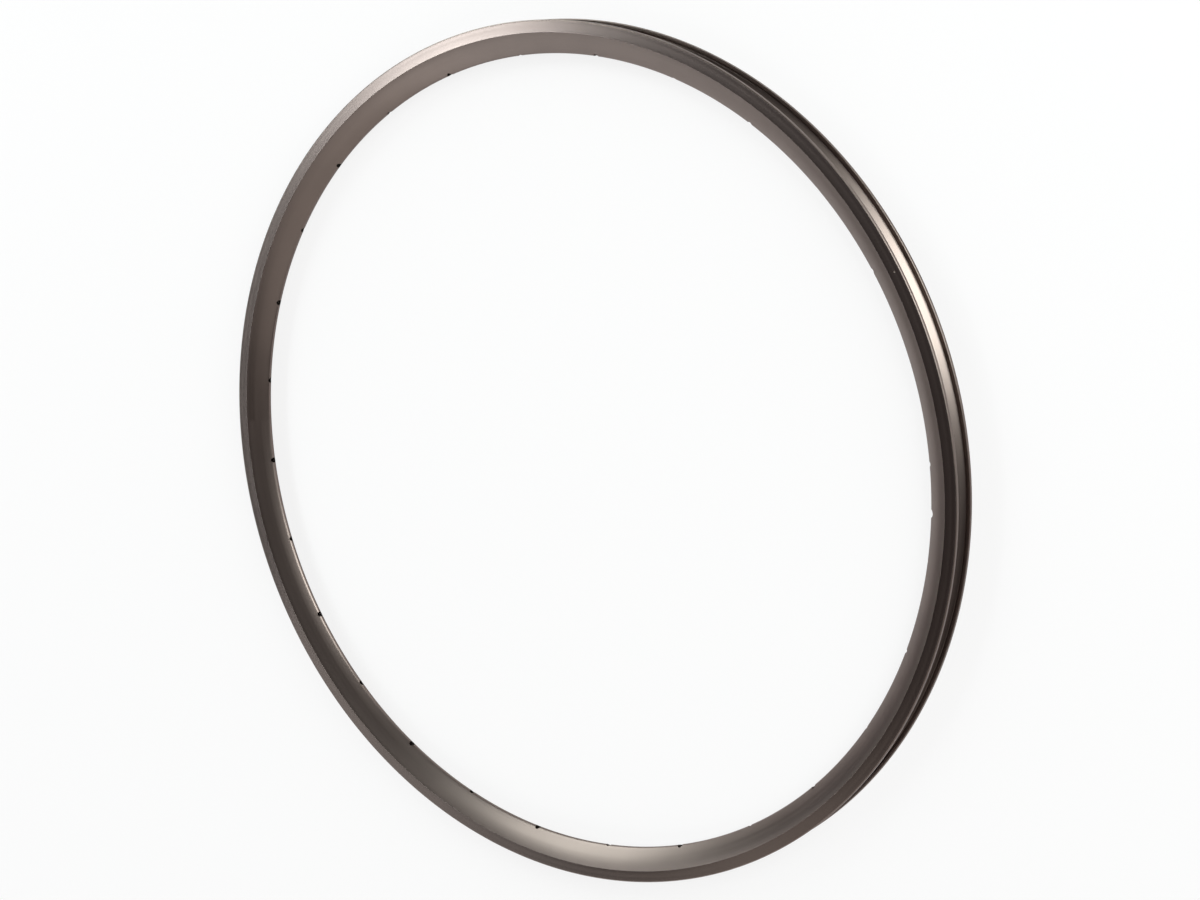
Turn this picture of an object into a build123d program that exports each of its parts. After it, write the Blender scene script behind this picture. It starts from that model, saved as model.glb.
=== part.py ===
# Bare bicycle rim lying flat with the axle line on Z: one hollow aluminium hoop with hooked flanges,
# parallel brake tracks, convex side walls and a narrow rounded spoke bed.
import math
import os

from build123d import *

# Main sizes in millimetres
bead_seat_diameter = 622.0
flange_height = 5.8
rim_width = 23.0
inner_width = 17.0
rim_depth = 23.5
brake_track_height = 8.7

# Spoke bed and side walls; the turn is how far the spoke bed's round runs on each side, in degrees
nose_round = 2.5
nose_turn = 47.0
nose_thickness = 3.6
wall_thickness = 1.1
crease_round = 0.5

# Flanges and tyre bed; below each hook a straight land runs into the bed's round corner
flange_wall = 1.6
hook_height = 2.2
hook_slope = 0.7
flange_land = 0.5
well_depth = 2.8
bed_thickness = 1.1
lip_outer_round = 0.8
lip_inner_round = 0.6
hook_round = 0.5
undercut_round = 0.6
hollow_round = 0.6

# Drillings; the cant leans each spoke hole towards its own side of the hub
spoke_count = 28
spoke_hole = 4.2
spoke_offset = 0.5
spoke_cant = 6.0
access_hole = 8.6
access_reach = 1.0
valve_hole = 6.5
drill_overrun = 3.0
dimple_width = 1.3
dimple_depth = 0.6
dimple_angle = 30.4

# How near a drawn point a section corner is looked for
corner_tolerance = 0.01

# Radii from the axle line, and half widths from the middle plane
seat_radius = bead_seat_diameter / 2
outer_radius = seat_radius + flange_height
nose_radius = outer_radius - rim_depth
crease_radius = outer_radius - brake_track_height
well_radius = seat_radius - well_depth
half_width = rim_width / 2
hook_face = inner_width / 2
flange_face = half_width - flange_wall
hook_radius = outer_radius - hook_height
undercut_radius = hook_radius - hook_slope
hollow_radius = nose_radius + nose_thickness
under_well = well_radius - bed_thickness

# The tyre's beads sit in the bed's round corners, and the hollow follows them at one thickness;
# the turn is in degrees
round_radius = undercut_radius - flange_land
bed_round = round_radius - well_radius
well_edge = flange_face - bed_round
under_round = bed_round + bed_thickness
under_turn = math.degrees(math.asin(bed_round / under_round))

# Both runs of holes cross the middle plane at one radius inside the hollow
spokes_per_side = spoke_count // 2
spoke_pitch = 360 / spoke_count
pivot_radius = nose_radius + spoke_offset / math.tan(math.radians(spoke_cant))
drill_height = outer_radius - pivot_radius
access_depth = outer_radius - under_well + access_reach
drill_depth = rim_depth + drill_overrun


def draw_side() -> Vector:
    """Draw half of the spoke bed and one convex side wall, and return the crease point."""
    nose = JernArc((nose_radius, 0), (0, 1), nose_round, -nose_turn)
    wall = TangentArc(nose @ 1, (crease_radius, half_width), tangent=nose % 1)
    return wall @ 1


def round_corners(sketch: BuildSketch, radius: float, half: float, size: float) -> None:
    """Round the pair of section corners at one radius and one half width."""
    pair = sketch.vertices().filter_by(
        lambda corner: math.hypot(corner.X - radius, abs(corner.Y) - half) < corner_tolerance
    )
    fillet(pair, size)


with BuildPart() as rim:
    # Full section: spoke bed, side walls, brake tracks, hooked lips and the round-cornered tyre bed
    with BuildSketch(Plane.XZ) as section:
        with BuildLine():
            crease = draw_side()
            Polyline(
                crease,
                (outer_radius, half_width),
                (outer_radius, hook_face),
                (hook_radius, hook_face),
                (undercut_radius, flange_face),
                (well_radius, flange_face),
                (well_radius, 0),
            )
            mirror(about=Plane.XZ)
        make_face()
        round_corners(section, crease_radius, half_width, crease_round)
        round_corners(section, outer_radius, half_width, lip_outer_round)
        round_corners(section, outer_radius, hook_face, lip_inner_round)
        round_corners(section, hook_radius, hook_face, hook_round)
        round_corners(section, undercut_radius, flange_face, undercut_round)
        round_corners(section, well_radius, flange_face, bed_round)
    revolve(axis=Axis.Z)

    # Hollow between the side walls, the spoke bed and the tyre bed
    with BuildSketch(Plane.XZ) as hollow:
        with BuildLine():
            crease = draw_side()
            Polyline(crease, (outer_radius, half_width), (outer_radius, 0))
            mirror(about=Plane.XZ)
        make_face()
        offset(amount=-wall_thickness, kind=Kind.INTERSECTION, mode=Mode.REPLACE)
        with BuildLine():
            Polyline((under_well, 0), (under_well, well_edge))
            under_bed = CenterArc((round_radius, well_edge), under_round, 180, -under_turn)
            Polyline(under_bed @ 1, (hollow_radius, flange_face), (hollow_radius, 0))
            mirror(about=Plane.XZ)
        make_face(mode=Mode.INTERSECT)
        corners = hollow.vertices().filter_by(lambda corner: abs(corner.X - under_well) > corner_tolerance)
        fillet(corners, hollow_round)
    revolve(axis=Axis.Z, mode=Mode.SUBTRACT)

    # Spoke holes through the spoke bed, each under a wider access hole through the tyre bed
    for side in (1, -1):
        with PolarLocations(pivot_radius, spokes_per_side, start_angle=side * spoke_pitch / 2):
            with Locations(Location((0, 0, 0), (0, 90 + side * spoke_cant, 0))):
                with Locations((0, 0, drill_height)):
                    CounterBoreHole(spoke_hole / 2, access_hole / 2, access_depth, drill_depth)

    # Valve hole through both walls
    with Locations(Location((outer_radius, 0, 0), (0, 90, 0))):
        Hole(valve_hole / 2, drill_depth)

    # Drilled wear dimple in the middle of the upper brake track
    with PolarLocations((outer_radius + crease_radius) / 2, 1, start_angle=dimple_angle):
        with Locations((0, 0, half_width)):
            Cone(
                bottom_radius=0,
                top_radius=dimple_width / 2,
                height=dimple_depth,
                align=(Align.CENTER, Align.CENTER, Align.MAX),
                mode=Mode.SUBTRACT,
            )

rim.part.label = "rim"
os.makedirs("parts", exist_ok=True)
export_step(rim.part, "parts/rim.step")
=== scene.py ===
"""Studio picture of a bare bicycle rim lying flat: a hollow aluminium hoop in dark warm grey anodising."""
import logging
import math
from dataclasses import dataclass
from enum import Enum

import bmesh
import bpy
from mathutils import Matrix, Quaternion, Vector


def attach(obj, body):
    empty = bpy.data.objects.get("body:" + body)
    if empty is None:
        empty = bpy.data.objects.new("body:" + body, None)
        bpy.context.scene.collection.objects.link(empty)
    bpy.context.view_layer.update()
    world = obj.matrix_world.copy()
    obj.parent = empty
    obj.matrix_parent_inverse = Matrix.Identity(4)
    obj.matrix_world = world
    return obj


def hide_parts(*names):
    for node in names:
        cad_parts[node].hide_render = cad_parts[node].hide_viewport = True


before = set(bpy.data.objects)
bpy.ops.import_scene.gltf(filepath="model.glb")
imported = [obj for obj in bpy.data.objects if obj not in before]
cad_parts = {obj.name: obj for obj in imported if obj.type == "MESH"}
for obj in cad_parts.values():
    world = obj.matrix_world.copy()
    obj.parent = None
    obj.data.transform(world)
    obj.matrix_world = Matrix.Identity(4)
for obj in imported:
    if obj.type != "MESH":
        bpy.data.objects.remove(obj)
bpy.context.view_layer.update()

log = logging.getLogger("rim")

Point = tuple[float, float]
Colour = tuple[float, float, float]
Socket = bpy.types.NodeSocket

MM = 0.001


class Side(Enum):
    """The two sides of the hub that the spokes run to."""

    UPPER = 1
    LOWER = -1


class Face(Enum):
    """Material slots of the rim, in order."""

    SKIN = 0
    TRACK = 1


def deselect() -> None:
    """Leave edit mode and clear the selection."""
    if bpy.context.object and bpy.context.object.mode != "OBJECT":
        bpy.ops.object.mode_set(mode="OBJECT")
    bpy.ops.object.select_all(action="DESELECT")


def pick(thing: bpy.types.Object) -> None:
    """Make one object the only selected and the active one.

    Args:
        thing: The object to pick.
    """
    deselect()
    thing.select_set(True)
    bpy.context.view_layer.objects.active = thing


def settle(thing: bpy.types.Object, name: str) -> bpy.types.Object:
    """Name an object and move its place into its mesh.

    Args:
        thing: The object to settle.
        name: The name of the object and its mesh.

    Returns:
        The same object, at the origin.
    """
    pick(thing)
    bpy.ops.object.transform_apply(location=True, rotation=True, scale=True)
    thing.name = name
    thing.data.name = name
    return thing


def cut(body: bpy.types.Object, tool: bpy.types.Object) -> None:
    """Take a tool's volume out of a body and delete the tool.

    Args:
        body: The mesh that is cut.
        tool: The closed mesh that cuts it.
    """
    pick(body)
    removal = body.modifiers.new(tool.name, "BOOLEAN")
    removal.operation = "DIFFERENCE"
    removal.solver = "EXACT"
    removal.object = tool
    bpy.ops.object.modifier_apply(modifier=removal.name)
    bpy.data.objects.remove(tool, do_unlink=True)


def towards(azimuth: float, elevation: float) -> Vector:
    """Give the direction from the rim's centre to a place around it.

    Args:
        azimuth: The angle round the axle line from X, in degrees.
        elevation: The angle above the level, in degrees.

    Returns:
        A vector of length one.
    """
    a, e = math.radians(azimuth), math.radians(elevation)
    return Vector((math.cos(a) * math.cos(e), math.sin(a) * math.cos(e), math.sin(e)))


def arc(centre: Vector, radius: float, start: float, end: float, runs: int) -> list[Point]:
    """Draw a round stretch of the section.

    Args:
        centre: The radius and height of its centre.
        radius: The radius of the stretch.
        start: The angle of its first point, in radians from the side that faces the axle line.
        end: The angle of its last point.
        runs: The number of straight runs that draw it.

    Returns:
        The drawn points, with both ends.
    """
    angles = [start + (end - start) * k / runs for k in range(runs + 1)]
    return [tuple(centre + radius * Vector((-math.cos(a), math.sin(a)))) for a in angles]


def rounded(corners: list[tuple[float, float, float]], step: float) -> list[Point]:
    """Draw a line of straight runs with round corners.

    Args:
        corners: Radius, height and corner round of each point.
        step: The largest turn between two drawn points, in degrees.

    Returns:
        The drawn points; the two ends stay sharp.
    """
    drawn: list[Point] = []
    for index, (r, z, size) in enumerate(corners):
        if size <= 0:
            drawn.append((r, z))
            continue
        here = Vector((r, z))
        before = (Vector(corners[index - 1][:2]) - here).normalized()
        after = (Vector(corners[index + 1][:2]) - here).normalized()
        half = before.angle(after) / 2
        middle = here + (before + after).normalized() * (size / math.sin(half))
        start = here + before * (size / math.tan(half)) - middle
        turn = start.angle_signed(here + after * (size / math.tan(half)) - middle)
        count = max(2, math.ceil(abs(math.degrees(turn)) / step))
        for k in range(count + 1):
            reach = start.copy()
            reach.rotate(Matrix.Rotation(-turn * k / count, 2))
            drawn.append(tuple(middle + reach))
    return drawn


def close_loop(upper: list[Point]) -> list[Point]:
    """Close a section's loop with the mirror image of its upper half.

    Args:
        upper: Points of the upper half, which starts and ends on the middle plane.

    Returns:
        Points once round.
    """
    return upper + [(r, -z) for r, z in reversed(upper[1:-1])]


@dataclass
class RimSection:
    """The rim's cross section: metres from the axle line and the middle plane, and degrees."""

    seat_radius: float = 311.0 * MM
    flange_height: float = 5.8 * MM
    width: float = 23.0 * MM
    inner_width: float = 17.0 * MM
    depth: float = 23.5 * MM
    track_height: float = 8.7 * MM
    nose_round: float = 2.5 * MM
    nose_turn: float = 47.0
    nose_thickness: float = 3.6 * MM
    wall_thickness: float = 1.1 * MM
    crease_round: float = 0.5 * MM
    flange_wall: float = 1.6 * MM
    hook_height: float = 2.2 * MM
    hook_slope: float = 0.7 * MM
    well_depth: float = 2.8 * MM
    bed_thickness: float = 1.1 * MM
    lip_outer_round: float = 0.8 * MM
    lip_inner_round: float = 0.6 * MM
    hook_round: float = 0.5 * MM
    undercut_round: float = 0.6 * MM
    bed_round: float = 5.2 * MM
    slope_radius: float = 312.9 * MM
    slope_round: float = 0.5 * MM
    well_round: float = 2.0 * MM
    hollow_corner: float = 0.3 * MM
    arc_step: float = 11.0
    nose_runs: int = 6
    wall_runs: int = 18
    roof_runs: int = 5

    def __post_init__(self) -> None:
        """Work out the radii and half widths that follow from the sizes."""
        self.outer_radius = self.seat_radius + self.flange_height
        self.nose_radius = self.outer_radius - self.depth
        self.crease_radius = self.outer_radius - self.track_height
        self.well_radius = self.seat_radius - self.well_depth
        self.half_width = self.width / 2
        self.flange_face = self.half_width - self.flange_wall
        self.well_edge = self.flange_face - self.bed_round

    def side(self, inset: float = 0.0) -> list[Point]:
        """Draw half of the spoke bed and one convex side wall.

        Args:
            inset: How far inside the skin the line runs.

        Returns:
            Points from the middle of the spoke bed to the crease.
        """
        turn = math.radians(self.nose_turn)
        nose = Vector((self.nose_radius + self.nose_round, 0.0))
        foot = nose + self.nose_round * Vector((-math.cos(turn), math.sin(turn)))
        chord = Vector((self.crease_radius, self.half_width)) - foot
        lean = math.atan2(chord.x, chord.y) - turn
        radius = chord.length / 2 / math.sin(lean)
        centre = foot + radius * Vector((math.cos(turn), -math.sin(turn)))
        bed = arc(nose, self.nose_round - inset, 0.0, turn, self.nose_runs)
        wall = arc(centre, radius - inset, turn, turn + 2 * lean, self.wall_runs)
        return bed[:-1] + wall

    def skin(self) -> list[Point]:
        """Draw the outside of the section as a closed loop.

        Returns:
            Points once round, starting in the middle of the spoke bed.
        """
        side = self.side()
        hook = self.outer_radius - self.hook_height
        hook_face = self.inner_width / 2
        top = rounded(
            [
                (*side[-2], 0.0),
                (self.crease_radius, self.half_width, self.crease_round),
                (self.outer_radius, self.half_width, self.lip_outer_round),
                (self.outer_radius, hook_face, self.lip_inner_round),
                (hook, hook_face, self.hook_round),
                (hook - self.hook_slope, self.flange_face, self.undercut_round),
                (self.slope_radius, self.flange_face, self.slope_round),
                (self.well_radius, self.well_edge, self.well_round),
                (self.well_radius, 0.0, 0.0),
            ],
            self.arc_step,
        )
        return close_loop(side[:-2] + top)

    def hollow(self) -> list[Point]:
        """Draw the hollow between the two walls as a closed loop.

        Returns:
            Points once round, starting in the middle of its floor.
        """
        floor = self.nose_radius + self.nose_thickness
        wall = [p for p in self.side(self.wall_thickness) if p[0] > floor and p[1] < self.flange_face]
        foot_radius, foot_height = wall[0]
        roof_round = self.bed_round + self.bed_thickness
        roof_turn = math.asin(self.bed_round / roof_round)
        roof_centre = Vector((self.well_radius + self.bed_round, self.well_edge))
        return close_loop([
            (floor, 0.0),
            (floor, foot_height - (foot_radius - floor)),
            *wall,
            (wall[-1][0] + self.hollow_corner, self.flange_face),
            *arc(roof_centre, roof_round, roof_turn, 0.0, self.roof_runs),
            (self.well_radius - self.bed_thickness, 0.0),
        ])


@dataclass
class Drillings:
    """The holes of the rim, in metres and degrees."""

    spokes: int = 28
    spoke_hole: float = 4.2 * MM
    spoke_offset: float = 0.5 * MM
    cant: float = 6.0
    access_hole: float = 8.6 * MM
    access_reach: float = 1.0 * MM
    valve_hole: float = 6.5 * MM
    overrun: float = 3.0 * MM
    dimple_width: float = 1.3 * MM
    dimple_depth: float = 0.6 * MM
    dimple_angle: float = 30.4
    sides: int = 48
    facing_down: float = -0.9

    def plain_drill(self, diameter: float, length: float, name: str) -> bpy.types.Object:
        """Model a plain drill, point down, turned so that none of its edges lies along one of the hoop's.

        Args:
            diameter: The drill's diameter.
            length: The drill's length.
            name: The name of the drill.

        Returns:
            The drill, hanging from the origin.
        """
        deselect()
        bpy.ops.mesh.primitive_cylinder_add(
            vertices=self.sides,
            radius=diameter / 2,
            depth=length,
            location=(0, 0, -length / 2),
            rotation=(0, 0, math.pi / self.sides),
        )
        return settle(bpy.context.object, name)

    def stepped_drill(self, section: RimSection) -> bpy.types.Object:
        """Model one stepped drill, point down: wide for the access hole and narrow for the spoke hole.

        Args:
            section: The rim section that it goes through.

        Returns:
            The drill, hanging from the origin.
        """
        wide = section.outer_radius - section.well_radius + section.bed_thickness + self.access_reach
        narrow = section.depth + self.overrun - wide
        drill = self.plain_drill(self.access_hole, wide, "stepped_drill")
        bpy.ops.object.mode_set(mode="EDIT")
        bpy.ops.mesh.select_all(action="DESELECT")
        shape = bmesh.from_edit_mesh(drill.data)
        for face in shape.faces:
            face.select = face.normal.z < self.facing_down
        bmesh.update_edit_mesh(drill.data)
        bpy.ops.mesh.inset(thickness=(self.access_hole - self.spoke_hole) / 2, depth=0)
        bpy.ops.mesh.extrude_region_move(TRANSFORM_OT_translate={"value": (0, 0, -narrow)})
        bpy.ops.object.mode_set(mode="OBJECT")
        return drill

    def spoke_drills(self, section: RimSection) -> list[bpy.types.Object]:
        """Copy the stepped drill to every spoke place.

        Args:
            section: The rim section that they go through.

        Returns:
            One drill for each spoke.
        """
        pattern = self.stepped_drill(section)
        pivot = section.nose_radius + self.spoke_offset / math.tan(math.radians(self.cant))
        pitch = 2 * math.pi / self.spokes
        copies = []
        for side in Side:
            lean = math.pi / 2 + side.value * math.radians(self.cant)
            for k in range(self.spokes // 2):
                copy = pattern.copy()
                copy.data = pattern.data.copy()
                bpy.context.collection.objects.link(copy)
                copy.matrix_world = (
                    Matrix.Rotation(pitch * (2 * k + side.value / 2), 4, "Z")
                    @ Matrix.Translation((pivot, 0, 0))
                    @ Matrix.Rotation(lean, 4, "Y")
                    @ Matrix.Translation((0, 0, section.outer_radius - pivot))
                )
                copies.append(copy)
        bpy.data.objects.remove(pattern, do_unlink=True)
        return copies

    def valve_drill(self, section: RimSection) -> bpy.types.Object:
        """Model the drill of the valve hole, along X through both walls.

        Args:
            section: The rim section that it goes through.

        Returns:
            The drill in its place.
        """
        drill = self.plain_drill(self.valve_hole, section.depth + self.overrun, "valve_drill")
        drill.location = (section.outer_radius, 0, 0)
        drill.rotation_euler = (0, math.pi / 2, 0)
        return settle(drill, "valve_drill")

    def dimple_drill(self, section: RimSection) -> bpy.types.Object:
        """Model the drill point that leaves the wear dimple in the upper brake track.

        Args:
            section: The rim section that it goes into.

        Returns:
            The drill point in its place.
        """
        middle = (section.outer_radius + section.crease_radius) / 2
        angle = math.radians(self.dimple_angle)
        deselect()
        # Twice as wide and as tall as the dimple, so that its upper half stands clear of the track
        bpy.ops.mesh.primitive_cone_add(
            vertices=self.sides,
            radius1=0,
            radius2=self.dimple_width,
            depth=2 * self.dimple_depth,
            location=(middle * math.cos(angle), middle * math.sin(angle), section.half_width),
        )
        return settle(bpy.context.object, "dimple_drill")

    def all_drills(self, section: RimSection) -> bpy.types.Object:
        """Model every drill and join them, so that one cut makes all the holes.

        Args:
            section: The rim section that they go through.

        Returns:
            One mesh with all the drills in their places.
        """
        drills = [*self.spoke_drills(section), self.valve_drill(section), self.dimple_drill(section)]
        deselect()
        for drill in drills:
            drill.select_set(True)
        bpy.context.view_layer.objects.active = drills[0]
        bpy.ops.object.join()
        return settle(drills[0], "drills")


class Nodes:
    """Adds and links the nodes of one material or world."""

    noise_range: Point = (0.3, 0.7)

    def __init__(self, owner: bpy.types.ID) -> None:
        """Open a node tree.

        Args:
            owner: The material or world that has it.
        """
        owner.use_nodes = True
        self.tree = owner.node_tree

    def first(self, name: str) -> bpy.types.Node:
        """Return one of the nodes that the tree starts with."""
        return self.tree.nodes[name]

    def add(self, kind: str, **settings: object) -> bpy.types.Node:
        """Add a node and set its properties.

        Args:
            kind: The node's type.
            settings: Its properties by name.

        Returns:
            The new node.
        """
        node = self.tree.nodes.new(kind)
        for key, value in settings.items():
            setattr(node, key, value)
        return node

    def link(self, source: Socket, target: Socket) -> None:
        """Link two sockets."""
        self.tree.links.new(source, target)

    def feed(self, node: bpy.types.Node, *inputs: object) -> Socket:
        """Fill a node's first inputs with sockets or values.

        Args:
            node: The node to fill.
            inputs: Sockets to link or values to set.

        Returns:
            The node's first output.
        """
        for socket, value in zip(node.inputs, inputs):
            if isinstance(value, Socket):
                self.link(value, socket)
            else:
                socket.default_value = value
        return node.outputs[0]

    def math(self, operation: str, *inputs: object) -> Socket:
        """Add a Math node and return its output."""
        return self.feed(self.add("ShaderNodeMath", operation=operation), *inputs)

    def vector(self, operation: str, *inputs: object) -> Socket:
        """Add a Vector Math node and return its output."""
        return self.feed(self.add("ShaderNodeVectorMath", operation=operation), *inputs)

    def blend(self, first: Socket, second: Socket, share: float) -> Socket:
        """Add two values, the first weighed by its share and the second by the rest."""
        rest = self.math("MULTIPLY", second, 1 - share)
        return self.math("ADD", self.math("MULTIPLY", first, share), rest)

    def noise(self, vector: Socket, scale: float, detail: float = 2.0) -> Socket:
        """Add a Noise Texture.

        Args:
            vector: The coordinates that it reads.
            scale: Its scale.
            detail: Its number of octaves.

        Returns:
            Its factor.
        """
        node = self.add("ShaderNodeTexNoise")
        self.link(vector, node.inputs["Vector"])
        node.inputs["Scale"].default_value = scale
        node.inputs["Detail"].default_value = detail
        return node.outputs["Fac"]

    def spread(self, value: Socket, low: float, high: float) -> Socket:
        """Map the usual range of a noise factor onto another range and return it."""
        return self.feed(self.add("ShaderNodeMapRange"), value, *self.noise_range, low, high)


@dataclass(frozen=True)
class Anodising:
    """Dark satin anodising on metal that was rolled or turned round the axle line.

    Attributes:
        name: The material's name.
        roughness: The mean roughness.
        streak: How much the roughness changes from streak to streak.
        groove: The width of the fine lines that run round the rim, in metres.
        drag: How far the highlights are drawn out across the lines.
        dark: The darker tone of the dye.
        light: The lighter tone of the dye.
        relief: The strength of the lines.
        relief_depth: The depth of the lines, in metres.
        drift: How fast the lines change along their run, per radian.
        streak_scale: The scale of the streaks, as a share of the lines' scale.
        cloud_scale: The scale of the soft clouds in the dye, per metre.
        grain_scale: The scale of the fine grain, per metre.
        cloud_share: The clouds' share of the dye's tone; the streaks have the rest.
        line_share: The lines' share of the relief; the grain has the rest.
    """

    name: str
    roughness: float
    streak: float
    groove: float
    drag: float
    dark: Colour = (0.188, 0.146, 0.132)
    light: Colour = (0.212, 0.164, 0.148)
    relief: float = 0.06
    relief_depth: float = 0.02 * MM
    drift: float = 1.5
    streak_scale: float = 0.12
    cloud_scale: float = 30.0
    grain_scale: float = 6000.0
    cloud_share: float = 0.6
    line_share: float = 0.8

    def build(self) -> bpy.types.Material:
        """Make the material.

        Returns:
            The finished material.
        """
        material = bpy.data.materials.new(self.name)
        n = Nodes(material)
        shader = n.first("Principled BSDF")

        # Coordinates that change fast across the lines and slowly along them
        place = n.add("ShaderNodeTexCoord").outputs["Object"]
        flat = n.vector("MULTIPLY", place, (1, 1, 0))
        radius = n.vector("LENGTH", flat).node.outputs["Value"]
        split = n.add("ShaderNodeSeparateXYZ")
        n.feed(split, place)
        angle = n.math("ARCTAN2", split.outputs["Y"], split.outputs["X"])
        lines = n.feed(
            n.add("ShaderNodeCombineXYZ"),
            n.math("DIVIDE", radius, self.groove),
            n.math("DIVIDE", split.outputs["Z"], self.groove),
            n.math("MULTIPLY", angle, self.drift),
        )
        fine = n.noise(lines, scale=1.0, detail=3.0)
        streaks = n.noise(lines, scale=self.streak_scale)
        clouds = n.noise(place, scale=self.cloud_scale, detail=3.0)
        grain = n.noise(place, scale=self.grain_scale)

        # Dye and gloss
        tone = n.add("ShaderNodeMix", data_type="RGBA")
        n.link(n.spread(n.blend(clouds, streaks, self.cloud_share), 0.0, 1.0), tone.inputs["Factor"])
        tone.inputs["A"].default_value = (*self.dark, 1)
        tone.inputs["B"].default_value = (*self.light, 1)
        n.link(tone.outputs["Result"], shader.inputs["Base Color"])
        rough = n.spread(streaks, self.roughness - self.streak, self.roughness + self.streak)
        n.link(rough, shader.inputs["Roughness"])
        shader.inputs["Metallic"].default_value = 1.0
        shader.inputs["Anisotropic"].default_value = self.drag
        if self.drag:
            n.link(n.vector("NORMALIZE", flat), shader.inputs["Tangent"])

        # Relief of the lines
        bump = n.add("ShaderNodeBump")
        bump.inputs["Strength"].default_value = self.relief
        bump.inputs["Distance"].default_value = self.relief_depth
        n.link(n.blend(fine, grain, self.line_share), bump.inputs["Height"])
        n.link(bump.outputs["Normal"], shader.inputs["Normal"])
        return material


@dataclass
class Rim:
    """The rim as one hollow drilled hoop, in metres and degrees."""

    section: RimSection
    drillings: Drillings
    skin_finish: Anodising
    track_finish: Anodising
    steps: int = 336
    weld: float = 0.002 * MM
    sharp_angle: float = 24.0
    track_level: float = 0.999
    track_reach: float = 0.01 * MM

    def hoop(self, points: list[Point], name: str) -> bpy.types.Object:
        """Draw a loop in the XZ plane and spin it round the axle line.

        Args:
            points: The loop's radii and heights.
            name: The name of the hoop.

        Returns:
            A closed mesh with its faces pointing outwards.
        """
        deselect()
        bpy.ops.mesh.primitive_plane_add(size=MM, location=(points[0][0], 0, points[0][1]))
        loop = bpy.context.object
        bpy.ops.object.mode_set(mode="EDIT")
        bpy.ops.mesh.select_mode(type="VERT")
        bpy.ops.mesh.merge(type="CENTER")
        for (r, z), (next_r, next_z) in zip(points, points[1:]):
            move = {"value": (next_r - r, 0, next_z - z)}
            bpy.ops.mesh.extrude_vertices_move(TRANSFORM_OT_translate=move)
        shape = bmesh.from_edit_mesh(loop.data)
        ends = [v for v in shape.verts if len(v.link_edges) == 1]
        for vertex in shape.verts:
            vertex.select = vertex in ends
        shape.select_flush_mode()
        bmesh.update_edit_mesh(loop.data)
        bpy.ops.mesh.edge_face_add()
        settle(loop, name)
        bpy.ops.object.mode_set(mode="EDIT")
        bpy.ops.mesh.select_all(action="SELECT")
        bpy.ops.mesh.spin(
            steps=self.steps, use_auto_merge=True, angle=2 * math.pi, center=(0, 0, 0), axis=(0, 0, 1)
        )
        bpy.ops.mesh.select_all(action="SELECT")
        bpy.ops.mesh.remove_doubles(threshold=self.weld)
        bpy.ops.mesh.normals_make_consistent(inside=False)
        bpy.ops.object.mode_set(mode="OBJECT")
        return loop

    def build(self) -> bpy.types.Object:
        """Make the hoop, hollow it and drill it.

        Returns:
            The finished rim, standing for the CAD node.
        """
        body = self.hoop(self.section.skin(), "anodised_rim")
        cut(body, self.hoop(self.section.hollow(), "hollow"))
        cut(body, self.drillings.all_drills(self.section))
        pick(body)
        bpy.ops.object.shade_smooth_by_angle(angle=math.radians(self.sharp_angle))
        level = body.modifiers.new("level_shading", "WEIGHTED_NORMAL")
        level.keep_sharp = True
        bpy.ops.object.modifier_apply(modifier=level.name)
        return body

    def dress(self, body: bpy.types.Object) -> None:
        """Give the brake tracks the turned finish and all the rest the plain one.

        Args:
            body: The finished mesh.
        """
        body.data.materials.clear()
        body.data.materials.append(self.skin_finish.build())
        body.data.materials.append(self.track_finish.build())
        track_height = self.section.half_width - self.track_reach
        for face in body.data.polygons:
            on_track = abs(face.normal.z) > self.track_level and abs(face.center.z) > track_height
            face.material_index = (Face.TRACK if on_track else Face.SKIN).value


@dataclass
class Softbox:
    """A rectangular lamp that looks at the rim's centre, in metres and degrees."""

    name: str
    azimuth: float
    elevation: float
    width: float
    height: float
    watts: float
    colour: Colour
    distance: float = 2.4

    def build(self) -> None:
        """Place the lamp."""
        back = towards(self.azimuth, self.elevation)
        lamp = bpy.data.lights.new(self.name, "AREA")
        lamp.shape = "RECTANGLE"
        lamp.size = self.width
        lamp.size_y = self.height
        lamp.energy = self.watts
        lamp.color = self.colour
        holder = bpy.data.objects.new(self.name, lamp)
        bpy.context.collection.objects.link(holder)
        holder.location = back * self.distance
        holder.rotation_euler = (-back).to_track_quat("-Z", "Y").to_euler()


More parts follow.
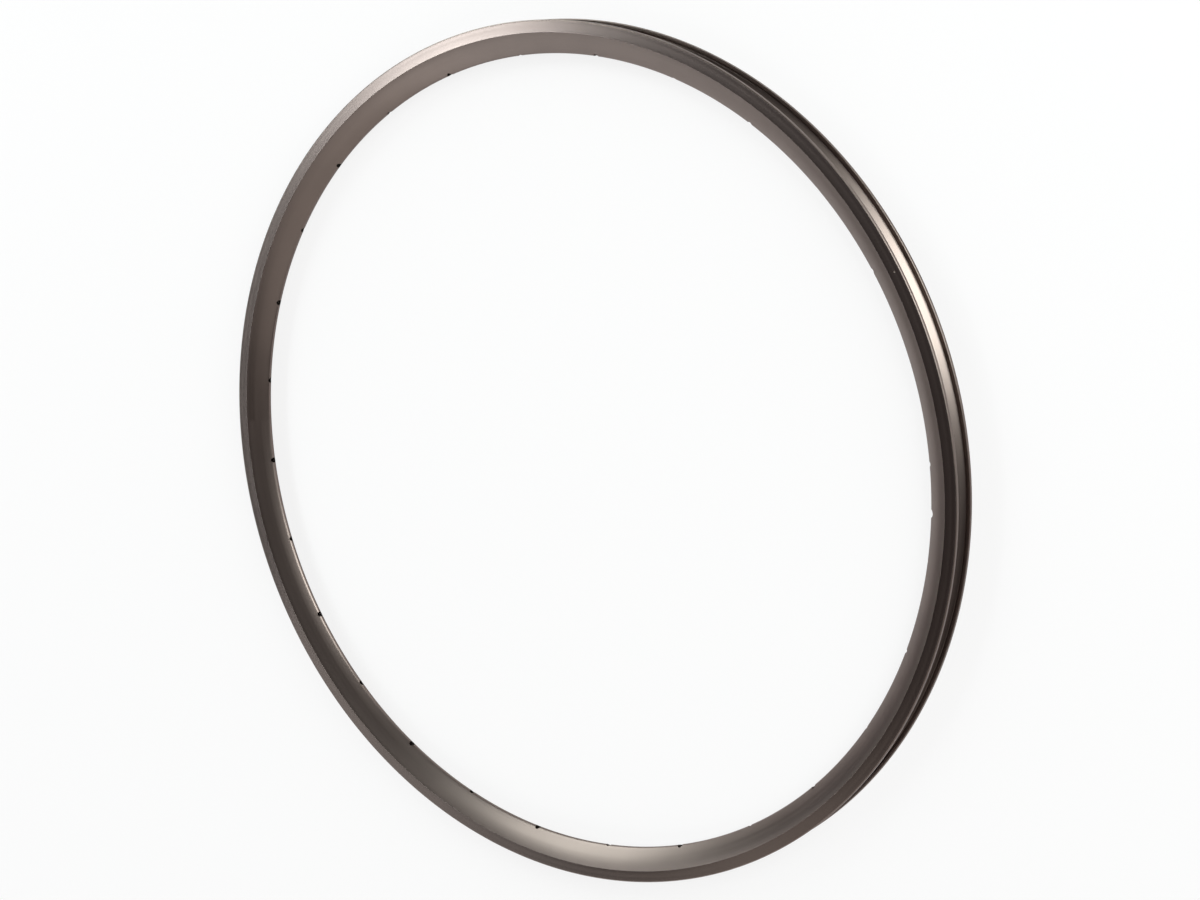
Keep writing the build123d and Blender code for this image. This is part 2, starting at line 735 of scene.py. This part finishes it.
@dataclass
class Studio:
    """Pale floor, dim room, soft lamps and the camera.

    Attributes:
        floor_height: The height of the floor, in metres.
        floor_size: The width of the floor, in metres.
        floor_colour: The colour of the floor's paper.
        floor_roughness: The roughness of the paper.
        floor_glow: The share of plain white in the floor that the camera sees; the lit paper is the rest.
        mirror_glow: The share of plain white in the floor and the low backdrop that the metal mirrors.
        sky: The strength of the room's light.
        sky_colour: The colour of the room's light.
        backdrop: How high the backdrop is full white, and where it ends, as sines of the elevation.
        camera_azimuth: The camera's angle round the axle line, in degrees.
        camera_elevation: The camera's angle above the level, in degrees.
        camera_distance: The camera's distance from the rim's centre, in metres.
        camera_roll: The camera's turn about its own line of sight, in degrees.
        camera_lens: The focal length, in millimetres.
        camera_sensor: The sensor's width, in millimetres.
        camera_shift: The lens shift, in image widths.
    """

    floor_height: float
    floor_size: float = 16.0
    floor_colour: Colour = (0.92, 0.86, 0.87)
    floor_roughness: float = 0.9
    floor_glow: float = 0.82
    mirror_glow: float = 0.30
    sky: float = 0.068
    sky_colour: Colour = (1.0, 0.82, 0.80)
    backdrop: Point = (0.03, 0.11)
    camera_azimuth: float = 21.312
    camera_elevation: float = 52.278
    camera_distance: float = 1.57487
    camera_roll: float = -108.2515
    camera_lens: float = 64.678
    camera_sensor: float = 36.0
    camera_shift: Point = (0.02827, 0.00959)

    def lay_floor(self) -> None:
        """Make the pale floor, which looks white and keeps the rim's shadow."""
        deselect()
        bpy.ops.mesh.primitive_plane_add(size=self.floor_size, location=(0, 0, self.floor_height))
        floor = settle(bpy.context.object, "studio_floor")
        paper = bpy.data.materials.new("floor_paper")
        n = Nodes(paper)
        lit = n.first("Principled BSDF")
        lit.inputs["Base Color"].default_value = (*self.floor_colour, 1)
        lit.inputs["Roughness"].default_value = self.floor_roughness
        lit.inputs["Specular IOR Level"].default_value = 0.0
        rays = n.add("ShaderNodeLightPath").outputs
        clear = n.math("MAXIMUM", rays["Is Camera Ray"], rays["Is Transmission Ray"])
        seen = n.math("MULTIPLY", clear, self.floor_glow)
        mirrored = n.math("MULTIPLY", rays["Is Glossy Ray"], self.mirror_glow)
        white = n.add("ShaderNodeEmission").outputs["Emission"]
        share = n.math("MAXIMUM", seen, mirrored)
        surface = n.feed(n.add("ShaderNodeMixShader"), share, lit.outputs["BSDF"], white)
        n.link(surface, n.first("Material Output").inputs["Surface"])
        floor.data.materials.append(paper)

    def hang_sky(self) -> None:
        """Make a dim warm room with a low white backdrop all round, which the camera sees as white."""
        room = bpy.data.worlds.new("studio_room")
        bpy.context.scene.world = room
        n = Nodes(room)
        rays = n.add("ShaderNodeLightPath").outputs
        split = n.add("ShaderNodeSeparateXYZ")
        n.feed(split, n.add("ShaderNodeTexCoord").outputs["Generated"])
        fade = n.add("ShaderNodeMapRange", interpolation_type="SMOOTHSTEP")
        low = n.feed(fade, split.outputs["Z"], *self.backdrop, 1.0, 0.0)
        low = n.math("MULTIPLY", low, self.mirror_glow)
        mirrored = n.math("MULTIPLY", rays["Is Glossy Ray"], low)
        clear = n.math("MAXIMUM", rays["Is Camera Ray"], rays["Is Transmission Ray"])
        share = n.math("MAXIMUM", mirrored, clear)
        dim = n.feed(n.add("ShaderNodeBackground"), (*self.sky_colour, 1), self.sky)
        white = n.feed(n.add("ShaderNodeBackground"), (1, 1, 1, 1), 1.0)
        surface = n.feed(n.add("ShaderNodeMixShader"), share, dim, white)
        n.link(surface, n.first("World Output").inputs["Surface"])

    def set_camera(self) -> None:
        """Place the camera above the rim, rolled as the photograph needs."""
        back = towards(self.camera_azimuth, self.camera_elevation)
        lens = bpy.data.cameras.new("camera")
        lens.sensor_fit = "HORIZONTAL"
        lens.sensor_width = self.camera_sensor
        lens.lens = self.camera_lens
        lens.shift_x, lens.shift_y = self.camera_shift
        camera = bpy.data.objects.new("camera", lens)
        bpy.context.collection.objects.link(camera)
        camera.location = back * self.camera_distance
        camera.rotation_mode = "QUATERNION"
        level = (-back).to_track_quat("-Z", "Y")
        camera.rotation_quaternion = level @ Quaternion((0, 0, 1), math.radians(self.camera_roll))
        bpy.context.scene.camera = camera

    def build(self, lamps: list[Softbox]) -> None:
        """Set up the floor, the room, the lamps and the camera.

        Args:
            lamps: The softboxes.
        """
        self.lay_floor()
        self.hang_sky()
        for lamp in lamps:
            lamp.build()
        self.set_camera()
        bpy.context.scene.view_settings.view_transform = "Standard"


SKIN = Anodising("anodised_skin", roughness=0.36, streak=0.03, groove=0.5 * MM, drag=0.0)
TRACK = Anodising("anodised_turned_track", roughness=0.21, streak=0.02, groove=0.22 * MM, drag=0.3)
LAMPS = [
    Softbox("key_softbox", azimuth=134.4, elevation=24.9, width=1.14, height=2.12,
            watts=42.7, colour=(0.86, 1.00, 0.98)),
    Softbox("back_softbox", azimuth=183.5, elevation=50.4, width=1.14, height=0.25,
            watts=8.5, colour=(0.85, 0.97, 1.00)),
    Softbox("side_softbox", azimuth=31.1, elevation=23.2, width=1.28, height=1.84,
            watts=66.0, colour=(0.89, 1.00, 0.98)),
    Softbox("fill_softbox", azimuth=276.5, elevation=32.5, width=3.04, height=2.94,
            watts=20.2, colour=(0.98, 1.00, 0.95)),
    Softbox("low_softbox", azimuth=228.0, elevation=21.9, width=1.74, height=1.82,
            watts=11.4, colour=(0.90, 0.99, 1.00)),
    Softbox("white_card", azimuth=168.0, elevation=6.3, width=2.20, height=0.50,
            watts=1.1, colour=(1.00, 0.97, 1.00)),
]


def main() -> None:
    """Build the rim, dress it and set up the studio."""
    logging.basicConfig(level=logging.INFO, format="%(message)s")
    rim = Rim(RimSection(), Drillings(), SKIN, TRACK)
    body = rim.build()
    rim.dress(body)
    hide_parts("rim")
    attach(body, "root")
    log.info("rim: %d faces", len(body.data.polygons))
    Studio(floor_height=-rim.section.half_width).build(LAMPS)
    log.info("studio: %d lamps", len(LAMPS))


if __name__ == "__main__":
    main()
